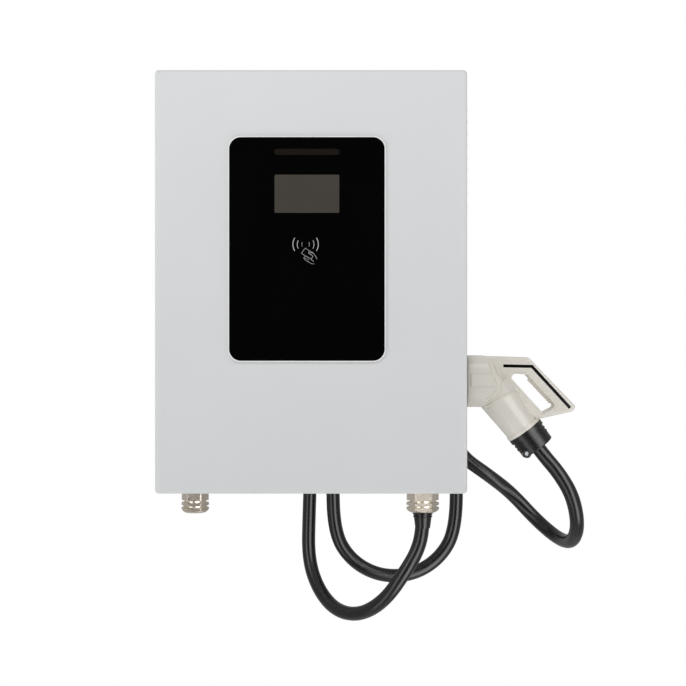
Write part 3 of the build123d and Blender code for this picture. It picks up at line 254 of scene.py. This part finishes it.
# each finish: two shades that drift over driftMm, a grain of grainMm that moves roughness and height;
# moulded and printed grains are finer than this in life and are drawn coarser, so that they show
finishes = {
    # sprayed powder, baked: soft sheen with a faint orange peel
    "powderCoatedSteel": {
        "shades": ("#E8E9EA", "#E2E4E5"), "driftMm": 140, "rough": (0.40, 0.50), "grainMm": 1.1,
        "bump": 0.035, "ior": 1.5},
    # clear sheet painted black on its back: deep black under a wet gloss
    "backPaintedSheet": {
        "shades": ("#040404", "#060606"), "driftMm": 90, "rough": (0.04, 0.07), "grainMm": 6, "bump": 0.0,
        "ior": 1.45},
    # polished edge of the sheet, coloured pure white as a painted highlight: it stands for the light the edge
    # catches, as a thin bright line
    "paintedHighlightSheetEdge": {
        "shades": ("#FFFFFF", "#FAFBFC"), "driftMm": 30, "rough": (0.30, 0.40), "grainMm": 4, "bump": 0.0,
        "ior": 1.49},
    # smoked cover over an unlit display: brown-grey, flatter than the panel
    "smokedDisplayGlass": {
        "shades": ("#4F4A44", "#48443E"), "driftMm": 40, "rough": (0.12, 0.2), "grainMm": 3, "bump": 0.0,
        "ior": 1.45},
    # smoked diffuser moulded in plastic: a little lighter than the black round it
    "smokedDiffuser": {
        "shades": ("#1B1813", "#211D18"), "driftMm": 16, "rough": (0.10, 0.16), "grainMm": 1.5, "bump": 0.01,
        "ior": 1.49},
    # screen-printed ink: flat pale grey
    "screenPrintedInk": {
        "shades": ("#D2D3D1", "#C3C4C2"), "driftMm": 5, "rough": (0.5, 0.6), "grainMm": 0.5, "bump": 0.01,
        "ior": 1.5},
    # turned brass, nickel plated: warm bright metal with fine turning lines
    "nickelPlatedBrass": {
        "shades": ("#F0E7D8", "#DDD3C2"), "driftMm": 9, "rough": (0.26, 0.36), "grainMm": 0.7, "bump": 0.01,
        "metal": 1.0, "stretch": (0.1, 0.1, 1)},
    # extruded cable jacket: smooth satin black with a long soft streak of light
    "extrudedJacket": {
        "shades": ("#0B0B0B", "#111110"), "driftMm": 60, "rough": (0.23, 0.27), "grainMm": 9, "bump": 0.0,
        "ior": 1.5},
    # moulded cream shell: half gloss with a slight mould texture
    "mouldedCreamShell": {
        "shades": ("#F3EFE6", "#ECE7DD"), "driftMm": 45, "rough": (0.19, 0.27), "grainMm": 1.3, "bump": 0.012,
        "ior": 1.5},
    # moulded black nylon: fine grain, soft highlight
    "mouldedBlackNylon": {
        "shades": ("#0A0A0A", "#0F0F0F"), "driftMm": 30, "rough": (0.22, 0.32), "grainMm": 0.7, "bump": 0.04,
        "ior": 1.5},
    # black inlay polished flush with the shell: deep, wet black
    "polishedBlackInlay": {
        "shades": ("#050505", "#070707"), "driftMm": 20, "rough": (0.08, 0.13), "grainMm": 2, "bump": 0.0,
        "ior": 1.48},
    # foamed and extruded seal rubber: matt, slightly open grain
    "extrudedSealRubber": {
        "shades": ("#171717", "#202020"), "driftMm": 25, "rough": (0.7, 0.85), "grainMm": 0.9, "bump": 0.08,
        "ior": 1.5},
    # rolled sheet, zinc plated: cool dull metal with rolling streaks
    "zincPlatedSheet": {
        "shades": ("#A9ADB1", "#989CA0"), "driftMm": 22, "rough": (0.42, 0.54), "grainMm": 3, "bump": 0.01,
        "metal": 1.0, "stretch": (0.06, 1, 1)},
    # extruded and mill-finished aluminium: pale with die lines along it
    "extrudedAluminium": {
        "shades": ("#D5D7D9", "#C4C7CA"), "driftMm": 12, "rough": (0.30, 0.42), "grainMm": 1.5, "bump": 0.01,
        "metal": 1.0, "stretch": (1, 1, 0.04)},
    # drawn copper alloy, silver plated: warm white metal
    "silverPlatedBar": {
        "shades": ("#D9D2C4", "#C9BFAC"), "driftMm": 14, "rough": (0.22, 0.34), "grainMm": 1.2, "bump": 0.01,
        "metal": 1.0, "stretch": (0.1, 1, 1)},
    # etched board under green solder mask: dark green with paler copper areas
    "maskedBoard": {
        "shades": ("#0E4A2A", "#146038"), "driftMm": 7, "rough": (0.28, 0.40), "grainMm": 1.8, "bump": 0.03,
        "ior": 1.5},
    # moulded grey housing: even matt grey
    "mouldedGreyHousing": {
        "shades": ("#C9CBCB", "#BEC0C1"), "driftMm": 35, "rough": (0.45, 0.56), "grainMm": 0.8, "bump": 0.03,
        "ior": 1.5},
    # moulded dark housing: near black, matt
    "mouldedDarkHousing": {
        "shades": ("#2A2B2D", "#232426"), "driftMm": 30, "rough": (0.45, 0.56), "grainMm": 0.8, "bump": 0.03,
        "ior": 1.5},
    # fired ceramic tube: off-white, dry
    "firedCeramic": {
        "shades": ("#DED9CC", "#D2CCBE"), "driftMm": 18, "rough": (0.55, 0.68), "grainMm": 0.9, "bump": 0.04,
        "ior": 1.55},
    # bonded fibre mat: pale, fuzzy, no highlight
    "bondedFibreMat": {
        "shades": ("#D6D5CF", "#BDBCB5"), "driftMm": 6, "rough": (0.9, 1.0), "grainMm": 1.2, "bump": 0.5,
        "ior": 1.45},
}
# noise that all finishes share: how fine the two patterns go, and the part of the grain's range used
noise = {"driftDetail": 3.0, "grainDetail": 2.0, "grainRange": (0.3, 0.7)}


def makeFinish(name, spec):
    # drift mixes the two shades, grain sets the roughness and a slight relief
    mat = bpy.data.materials.new(name)
    mat.use_nodes = True
    tree = mat.node_tree
    shader = tree.nodes["Principled BSDF"]
    where = addNode(tree, "ShaderNodeTexCoord").outputs["Object"]
    if "stretch" in spec:
        where = addNode(tree, "ShaderNodeMapping", {"Vector": where, "Scale": spec["stretch"]}).outputs[0]
    drift = addNode(tree, "ShaderNodeTexNoise",
                    {"Vector": where, "Scale": 1 / (spec["driftMm"] * mm), "Detail": noise["driftDetail"]})
    grain = addNode(tree, "ShaderNodeTexNoise",
                    {"Vector": where, "Scale": 1 / (spec["grainMm"] * mm), "Detail": noise["grainDetail"]})
    first, second = spec["shades"]
    tint = addNode(tree, "ShaderNodeMix", {0: drift.outputs["Fac"], 6: linear(first), 7: linear(second)},
                   data_type="RGBA")
    tree.links.new(tint.outputs[2], shader.inputs["Base Color"])
    low, high = noise["grainRange"]
    smooth, dull = spec["rough"]
    sheen = addNode(tree, "ShaderNodeMapRange",
                    {"Value": grain.outputs["Fac"], "From Min": low, "From Max": high, "To Min": smooth,
                     "To Max": dull})
    tree.links.new(sheen.outputs[0], shader.inputs["Roughness"])
    if spec["bump"]:
        relief = addNode(tree, "ShaderNodeBump", {"Height": grain.outputs["Fac"], "Strength": spec["bump"],
                                                  "Distance": spec["grainMm"] * mm})
        tree.links.new(relief.outputs[0], shader.inputs["Normal"])
    shader.inputs["Metallic"].default_value = spec.get("metal", 0.0)
    if "ior" in spec:
        shader.inputs["IOR"].default_value = spec["ior"]
    return mat


materials = {name: makeFinish(name, spec) for name, spec in finishes.items()}

# which CAD nodes take which finish
dressing = {
    "powderCoatedSteel": ["cabinet_shell", "front_door"],
    "backPaintedSheet": ["front_panel"],
    "smokedDisplayGlass": ["display_window"],
    "smokedDiffuser": ["light_bar"],
    "nickelPlatedBrass": ["gland_bodies", "gland_nuts", "gland_locknuts", "lock_barrel", "lock_core"],
    "extrudedJacket": ["charging_cable", "cable_sleeve", "cable_inner_end", "dc_leads"],
    "mouldedCreamShell": ["gun_shell_front", "gun_shell_rear", "release_trigger"],
    "polishedBlackInlay": ["gun_stripes"],
    "mouldedBlackNylon": ["gun_cap", "gun_nose", "gun_holster", "panel_cover",
                          "fan_frames", "fan_rotor_left", "fan_rotor_right", "cable_saddle"],
    "extrudedSealRubber": ["door_gasket", "supply_seal", "output_seal"],
    "zincPlatedSheet": ["mounting_plate", "plate_studs", "frame_bolts", "din_rail", "module_brackets",
                        "power_module_case", "hinge_body_leaves", "hinge_door_leaves", "hinge_pins",
                        "lock_cam", "lock_keeper", "upper_wall_rail", "lower_wall_rail", "gun_cap_screw"],
    "extrudedAluminium": ["power_module_heatsink"],
    "silverPlatedBar": ["gun_contacts", "earth_bar", "busbars"],
    "maskedBoard": ["light_board", "reader_board", "control_board"],
    "mouldedGreyHousing": ["input_breaker", "surge_protector", "auxiliary_supply", "terminal_block",
                           "input_contactor"],
    "mouldedDarkHousing": ["breaker_toggle", "dc_contactors", "display_module"],
    "firedCeramic": ["dc_fuse"],
    "bondedFibreMat": ["filter_pads"],
}
for finish, names in dressing.items():
    for name in names:
        nodes[name].data.materials.clear()
        nodes[name].data.materials.append(materials[finish])

# rounded edges of CAD pieces: width in millimetres, on edges sharper than the angle
rounding = {"segments": 3, "angle": 40.0, "widths": {
    "gland_nuts": 0.8, "gland_bodies": 0.8, "gland_locknuts": 0.6, "gun_cap": 0.6, "gun_holster": 0.8,
    "release_trigger": 0.5, "input_breaker": 0.8, "surge_protector": 0.8, "input_contactor": 0.8,
    "auxiliary_supply": 0.8, "terminal_block": 0.6}}


def roundEdges():
    for name, width in rounding["widths"].items():
        mod = nodes[name].modifiers.new("edge", "BEVEL")
        mod.width = width * mm
        mod.segments = rounding["segments"]
        mod.limit_method = "ANGLE"
        mod.angle_limit = math.radians(rounding["angle"])


def evenNormals():
    # flat faces keep their own normals where a rounded edge meets them
    for node in nodes.values():
        mod = node.modifiers.new("normals", "WEIGHTED_NORMAL")
        mod.mode = "FACE_AREA"
        mod.weight = 100
        mod.keep_sharp = True


roundEdges()
evenNormals()
print("stage: finishes on", sum(len(v) for v in dressing.values()), "nodes")

# charging cable: one spline on the CAD route's own points, in millimetres; routes on one depth are (x, z)
cable = {
    "diameter": 22.0, "length": 3.26, "gland": (170.0, -195.0, -351.0), "out": 30.0,
    "rear": -42.5, "near": -67.5,
    # circles on the saddle and in the low loop: centre x and z, radius; where each starts, in degrees
    "saddle": (112.0, -40.0, 120.0), "saddleStart": 165, "loop": (133.0, -372.0, 101.0), "loopStart": -15,
    "step": 30.0, "corners": 6, "order": 3, "alongSteps": 10, "roundSteps": 8,
    "down": [(161, -195, -413), (144, -199.5, -440.5), (112.5, -191, -488), (74, -159.5, -517.5),
             (36, -117, -519), (6.5, -76.5, -492), (-10.5, -52, -445), (-9, -44, -370)],
    "upLeft": [(-6, -285), (-9, -190), (-7, -98)],
    "downRight": [(233, -95), (231, -190), (235, -290)],
    "upAgain": [(30, -300), (12, -195), (-6, -98)],
    "offSaddle": [(222, -85), (209, -155), (212, -222), (240, -275), (286, -307)],
    "toGun": [(324.5, -52, -337), (366, -62, -382.5), (396, -103, -407), (408, -156, -403.5),
              (410, -196, -372), (399.5, -211, -326), (379.5, -208.5, -291), (355.3, -200, -262.1),
              (331.6, -200, -230.5)],
    "carries": ["cable_sleeve", "gun_shell_front", "gun_shell_rear", "gun_stripes", "gun_cap",
                "gun_cap_screw", "gun_nose", "gun_contacts", "release_trigger"],
}


def turnPoints(circle, start, depths):
    # corners of the polygon round a circle, one every step, going clockwise
    centreX, centreZ, radius = circle
    reach = radius / math.cos(math.radians(cable["step"] / 2))
    angles = [math.radians(start - i * cable["step"]) for i in range(len(depths))]
    return [(centreX + reach * math.cos(a), y, centreZ + reach * math.sin(a)) for a, y in zip(angles, depths)]


def cableRoute():
    # down from the gland, up behind, over the saddle, round the low loop, over again and out to the gun
    x, y, z = cable["gland"]
    rear, near, count = cable["rear"], cable["near"], cable["corners"]
    slide = [rear + (near - rear) * i / (count - 1) for i in range(count)]
    flat = {name: [(a, rear, b) for a, b in cable[name]] for name in ("upLeft", "downRight")}
    flat |= {name: [(a, near, b) for a, b in cable[name]] for name in ("upAgain", "offSaddle")}
    return ([(x, y, z), (x, y, z - cable["out"])] + cable["down"] + flat["upLeft"]
            + turnPoints(cable["saddle"], cable["saddleStart"], [rear] * count) + flat["downRight"]
            + turnPoints(cable["loop"], cable["loopStart"], slide) + flat["upAgain"]
            + turnPoints(cable["saddle"], cable["saddleStart"], [near] * count) + flat["offSaddle"]
            + cable["toGun"])


def makeCable():
    curve = bpy.data.curves.new("chargingCable", "CURVE")
    curve.dimensions = "3D"
    spots = place(*np.array(cableRoute()).T)
    spline = curve.splines.new("NURBS")
    spline.points.add(len(spots) - 1)
    spline.points.foreach_set("co", np.insert(spots, 3, 1.0, axis=1).ravel())
    spline.order_u = cable["order"]
    spline.use_endpoint_u = True
    spline.resolution_u = cable["alongSteps"]
    curve.bevel_depth = cable["diameter"] / 2 * mm
    curve.bevel_resolution = cable["roundSteps"]
    curve.use_fill_caps = True
    curve.materials.append(materials["extrudedJacket"])
    obj = bpy.data.objects.new("chargingCable", curve)
    bpy.context.scene.collection.objects.link(obj)
    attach(obj, "cabinet")
    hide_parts("charging_cable")
    place(*cable["gland"])


makeCable()
print("stage: cable")

# card sign printed on the panel: strokes in millimetres from the sign's centre
sign = {
    "x": -7.9, "z": 54.7, "front": -298.5, "thick": 0.08, "arcSteps": 24,
    "handLine": 0.46, "fingerLine": 0.28,
    # waves on either side: radius, half sweep in degrees, width of line
    "waves": ((18.6, 31, 0.95), (12.3, 29, 0.75), (5.6, 33, 0.42)),
    "card": ((7.5, -21.4), (-6.2, -13.2), (-0.7, -5.6), (6.0, -9.5), (11.2, -12.7)),
    "hand": (((4.2, -10.8), (4.0, -12.4), (6.2, -14.2), (10.6, -16.6), (10.4, -18.6), (7.5, -21.4),
              (9.6, -23.4), (11.9, -25.2)),
             ((4.2, -10.8), (7.6, -12.2), (11.2, -12.7), (14.6, -17.0), (16.9, -22.0)),
             ((-1.2, -17.6), (-2.8, -19.2), (-1.9, -21.6), (1.0, -24.0), (6.4, -26.8), (9.6, -28.8),
              (13.2, -28.4))),
    "finger": ((-1.4, -19.7), (1.9, -21.2), (4.9, -23.1)),
}


def waveStroke(radius, sweep, side):
    # part of a circle about the centre, on the left or the right
    turn = np.radians(np.linspace(-sweep, sweep, sign["arcSteps"]))
    return np.stack([side * radius * np.cos(turn), radius * np.sin(turn)], 1)


def softStroke(corners, rounds=2):
    # each pass cuts every corner of the line by a quarter of its two sides
    line = np.asarray(corners, float)
    for _ in range(rounds):
        a, b = line[:-1], line[1:]
        cut = np.stack([0.75 * a + 0.25 * b, 0.25 * a + 0.75 * b], 1).reshape(-1, 2)
        line = np.concatenate([line[:1], cut, line[-1:]])
    return line


def makeSign():
    # each stroke is a thin flat bar carried along its line
    strokes = [(waveStroke(radius, sweep, side), line)
               for radius, sweep, line in sign["waves"] for side in (-1, 1)]
    card = np.array(sign["card"])
    strokes += [(card[i:i + 2], sign["handLine"]) for i in range(len(card) - 1)]
    strokes += [(softStroke(line), sign["handLine"]) for line in sign["hand"]]
    strokes.append((softStroke(sign["finger"]), sign["fingerLine"]))
    for i, (line, wide) in enumerate(strokes):
        half, up = wide / 2, sign["thick"]
        profile = np.array([(-half, 0), (half, 0), (half, up), (-half, up)]) * mm
        path = facePath(line, sign["x"], sign["front"], sign["z"])
        gridMesh(f"cardSign{i}", sweepPoints(path, profile, (0, -1, 0)),
                 material=materials["screenPrintedInk"], body="door", smooth=False)


makeSign()

# polished edge of the panel: a fine bead round its outline, in pure white as a painted highlight
bead = {"x": -6.0, "z": 48.0, "wide": 230.0, "high": 330.0, "corner": 18.0, "front": -297.8, "radius": 1.1}


def roundedLoop(wide, high, corner, steps=12):
    # four quarter circles joined by straight runs, counter-clockwise
    quarter = np.radians(np.linspace(0, 90, steps))
    loop = []
    for k, (sideX, sideZ) in enumerate([(1, 1), (-1, 1), (-1, -1), (1, -1)]):
        turn = quarter + k * np.pi / 2
        loop.append(np.stack([sideX * (wide / 2 - corner) + corner * np.cos(turn),
                              sideZ * (high / 2 - corner) + corner * np.sin(turn)], 1))
    return np.concatenate(loop)


def circleProfile(radius, count=10):
    # points round a circle, for a round bead
    turn = np.linspace(0, 2 * np.pi, count, endpoint=False)
    return np.stack([radius * np.cos(turn), radius * np.sin(turn)], 1) * mm


def makeBead():
    loop = roundedLoop(bead["wide"], bead["high"], bead["corner"])
    path = facePath(loop, bead["x"], bead["front"], bead["z"])
    gridMesh("panelEdge", sweepPoints(path, circleProfile(bead["radius"]), (0, -1, 0), closed=True),
             closeU=True, material=materials["paintedHighlightSheetEdge"], body="door")


makeBead()
print("stage: panel sign and edge")

# moulded lines on the gun: a fine roof whose foot sinks a little into the surface it stands on
roof = {"sunk": 0.4, "shoulder": (0.25, 0.8)}


def roofProfile(wide, rise):
    # foot, shoulder, top, shoulder, foot; the shoulder is given as shares of width and rise
    out, up = roof["shoulder"]
    return np.array([(wide / 2, -roof["sunk"]), (out * wide, up * rise), (0, rise), (-out * wide, up * rise),
                     (-wide / 2, -roof["sunk"])]) * mm


# charging gun: raised chevron lines that follow the barrel's rounded side
gun = {"y": -200.0, "barrelZ": -148.5, "half": 33.0, "flat": 15.5, "round": 24.0, "line": 2.4, "rise": 1.9,
       "chevrons": ([(268.4, -121.5), (285.7, -162.0), (265.0, -175.5)],
                    [(277.1, -122.5), (293.0, -163.4), (266.5, -180.5)])}


def barrelSide(z):
    # half width of the rounded barrel at this height: flat in the middle, then most of a quarter circle
    over = np.clip(np.abs(z - gun["barrelZ"]) - gun["flat"], 0, gun["round"] - 0.5)
    return gun["half"] - gun["round"] + np.sqrt(gun["round"] ** 2 - over ** 2)


def evenLine(corners, step=1.0):
    # points at equal distances along the line, about one step apart
    line = np.asarray(corners, float)
    run = np.concatenate([[0], np.cumsum(np.linalg.norm(np.diff(line, axis=0), axis=1))])
    at = np.linspace(0, run[-1], int(run[-1] / step))
    return np.stack([np.interp(at, run, line[:, i]) for i in range(2)], 1)


def makeChevrons():
    # the line's up leans with the barrel's surface: how far past the flat part, over the radius
    for k, corners in enumerate(gun["chevrons"]):
        x, z = evenLine(softStroke(corners, 3)).T
        over = np.clip(z - gun["barrelZ"], -gun["flat"], gun["flat"])
        lean = (z - gun["barrelZ"] - over) / gun["round"]
        for side, word in ((-1, "Front"), (1, "Rear")):
            path = place(x, gun["y"] + side * barrelSide(z), z)
            up = np.stack([0 * lean, side * np.sqrt(1 - np.clip(lean ** 2, 0, 0.95)), lean], 1)
            gridMesh(f"chevron{word}{k}", sweepPoints(path, roofProfile(gun["line"], gun["rise"]), up),
                     material=materials["mouldedCreamShell"], body="cabinet", smooth=False)


makeChevrons()

# bare raised plate on the barrel: a fine rounded frame, as its moulded border
border = {"x": 259.0, "z": -146.5, "wide": 36.0, "high": 19.0, "corner": 3.0, "front": -233.0, "line": 2.0,
          "rise": 1.5}


def makeBorder():
    loop = roundedLoop(border["wide"], border["high"], border["corner"])
    path = facePath(loop, border["x"], border["front"], border["z"])
    profile = roofProfile(border["line"], border["rise"])
    gridMesh("plateBorder", sweepPoints(path, profile, (0, -1, 0), closed=True), closeU=True,
             material=materials["mouldedCreamShell"], body="cabinet", smooth=False)


makeBorder()

# finger hole: a raised lip round its outline on both faces of the grip, corners in millimetres
lip = {"corners": ((296, -136), (328, -138), (374, -187), (352.5, -198)), "round": 6.0, "out": 2.6,
       "faces": (-220.0, -180.0), "radius": 1.3}


def roundedCorners(corners, radius, steps=8):
    # each corner becomes an arc that touches its two sides
    spots = np.asarray(corners, float)
    loop = []
    for before, here, after in zip(np.roll(spots, 1, 0), spots, np.roll(spots, -1, 0)):
        u = (before - here) / np.linalg.norm(before - here)
        v = (after - here) / np.linalg.norm(after - here)
        half = math.acos(float(np.clip(u @ v, -1, 1))) / 2
        middle = here + (u + v) / np.linalg.norm(u + v) * radius / math.sin(half)
        start = here + u * radius / math.tan(half) - middle
        end = here + v * radius / math.tan(half) - middle
        share = np.linspace(0, 1, steps)[:, None]
        arc = start * (1 - share) + end * share
        loop.append(middle + arc / np.linalg.norm(arc, axis=1)[:, None] * radius)
    return np.concatenate(loop)


def makeLips():
    # the hole's outline pushed away from its middle, with a round bead carried along it
    loop = roundedCorners(lip["corners"], lip["round"])
    away = loop - np.mean(lip["corners"], axis=0)
    loop = loop + away / np.linalg.norm(away, axis=1)[:, None] * lip["out"]
    for y, word in zip(lip["faces"], ("Front", "Rear")):
        points = sweepPoints(facePath(loop, 0, y, 0), circleProfile(lip["radius"]), (0, -1, 0), closed=True)
        gridMesh(f"holeLip{word}", points, closeU=True, material=materials["mouldedCreamShell"],
                 body="cabinet")


makeLips()

# edge of the neck where it stands proud of the grip: (along, across) in millimetres on the neck's own axis
neck = {"end": (326.2, -223.3), "axis": (0.6, -0.8), "radius": (28.0, 33.5), "length": 82.0, "gripFace": 20.0,
        "line": 2.8, "rise": 1.8,
        "edge": ((-66, -29), (-64.5, -12), (-63, 4), (-61, 15), (-56, 22.5), (-46, 25), (-28, 25),
                 (-5, 24.5))}


def makeNeckEdges():
    # the line lies on the cone of the neck, or on the grip's flat face where that is further out
    along, across = evenLine(softStroke(neck["edge"], 3)).T
    out = np.array(neck["axis"])
    over = np.array([-out[1], out[0]])
    x, z = (np.array(neck["end"]) + along[:, None] * out + across[:, None] * over).T
    small, large = neck["radius"]
    radius = small + (large - small) * -along / neck["length"]
    depth = np.sqrt(np.clip(radius ** 2 - across ** 2, neck["gripFace"] ** 2, None))
    for side, word in ((-1, "Front"), (1, "Rear")):
        path = place(x, gun["y"] + side * depth, z)
        gridMesh(f"neckEdge{word}", sweepPoints(path, roofProfile(neck["line"], neck["rise"]), (0, side, 0)),
                 material=materials["mouldedCreamShell"], body="cabinet", smooth=False)


makeNeckEdges()
print("stage: gun")

# rings moulded on the cable sleeve: height and radius of each, and the radius of its bead, in millimetres
sleeveRings = {"rings": ((-353.5, 14.6), (-357.5, 14.1)), "bead": 0.9, "count": 64}


def makeSleeveRings():
    # a round bead carried round a level circle about the gland's axis
    axis, first, second = axisFrame((0, 0, 1))
    turn = np.linspace(0, 2 * np.pi, sleeveRings["count"], endpoint=False)[:, None]
    for i, (height, radius) in enumerate(sleeveRings["rings"]):
        around = np.cos(turn) * first + np.sin(turn) * second
        path = place(*cable["gland"][:2], height) + radius * mm * around
        points = sweepPoints(path, circleProfile(sleeveRings["bead"]), axis, closed=True)
        gridMesh(f"sleeveRing{i}", points, closeU=True, material=materials["extrudedJacket"], body="cabinet")


makeSleeveRings()


def everyMix(xs, ys, zs):
    # one place for every mix of the given x, y and z
    return [(x, y, z) for x in xs for y in ys for z in zs]


def aboutSaddle(radius, y, degrees):
    # places on a circle about the cable saddle's centre
    centreX, centreZ, _ = cable["saddle"]
    angles = [math.radians(a) for a in degrees]
    return [(centreX + radius * math.cos(a), y, centreZ + radius * math.sin(a)) for a in angles]


# rows of screws on the rail devices, terminals and earth bar, and the corners of the fans, in millimetres
polesX = [-191 + 18 * i for i in range(4)] + [-113 + 18 * i for i in range(3)]
coilX = [-54.25 + 15.5 * i for i in range(4)]
terminalX = [-188 + 24 * i for i in range(5)]
earthX = [-50 + 20 * i for i in range(6)]
railZ = (-239, -171)
fanX = [centre + side for centre in (-143, -31) for side in (-35.7, 35.7)]
fanY = [-148 + side for side in (-35.7, 35.7)]
# small fasteners: finish, direction of the head, head radius, head height and places, in millimetres
fasteners = {
    "holsterScrew": ("zincPlatedSheet", (1, 0, 0), 3.8, 0.4, everyMix([234], (-238, -162), (-192.5, -104.5))),
    "saddleScrew": ("zincPlatedSheet", (0, 1, 0), 5.0, 3.0, aboutSaddle(93.6, -82.5, (50, 90, 130))),
    "plateNut": ("zincPlatedSheet", (0, -1, 0), 7.5, 5.0, everyMix((-190, 190), [-99], (-285, 285))),
    "earthScrew": ("nickelPlatedBrass", (0, -1, 0), 4.2, 2.6, everyMix(earthX, [-121], [-281])),
    "terminalScrew": ("zincPlatedSheet", (0, -1, 0), 4.2, 2.0, everyMix(terminalX, [-133], [-281])),
    "postNut": ("zincPlatedSheet", (0, -1, 0), 7.0, 5.0, everyMix((95, 165), [-170], [92])),
    "fuseBolt": ("zincPlatedSheet", (0, -1, 0), 5.5, 3.5, everyMix([95], [-137], (164, 258))),
    "poleScrew": ("zincPlatedSheet", (0, -1, 0), 3.4, 0.5, everyMix(polesX, [-150.5], railZ)),
    "coilScrew": ("zincPlatedSheet", (0, -1, 0), 3.4, 0.5, everyMix(coilX, [-156.5], railZ)),
    "caseScrew": ("zincPlatedSheet", (0, -1, 0), 3.2, 1.8, everyMix((-192, 18), [-190], (-62, 110, 282))),
    "fanScrew": ("zincPlatedSheet", (0, 0, -1), 2.7, 1.6, everyMix(fanX, fanY, [-95])),
}
# pan head: how deep it sinks, radius at its poles, sides of the turned shape, and its outline from the rim to
# the sunk drive as shares of the head's radius and height
panHead = {"sunk": 0.3, "pole": 0.02, "count": 24, "driveFloor": 0.35,
           "outline": ((1, 0.45), (0.94, 0.78), (0.78, 1), (0.42, 1), (0.38, 0.35))}


def makeFasteners():
    # a flat rim, a rounded shoulder and a round drive sunk in the middle, turned about the screw's axis
    for name, (finish, axis, radius, high, places) in fasteners.items():
        outline = [(panHead["pole"], -panHead["sunk"]), (radius, -panHead["sunk"])]
        outline += [(a * radius, b * high) for a, b in panHead["outline"]]
        outline.append((panHead["pole"], panHead["driveFloor"] * high))
        profile = np.array(outline) * mm
        for i, spot in enumerate(places):
            points = lathePoints(profile, place(*spot), axis, panHead["count"])[::-1]
            gridMesh(f"{name}{i}", points, material=materials[finish], body="cabinet", smooth=False)


makeFasteners()
print("stage: small pieces")
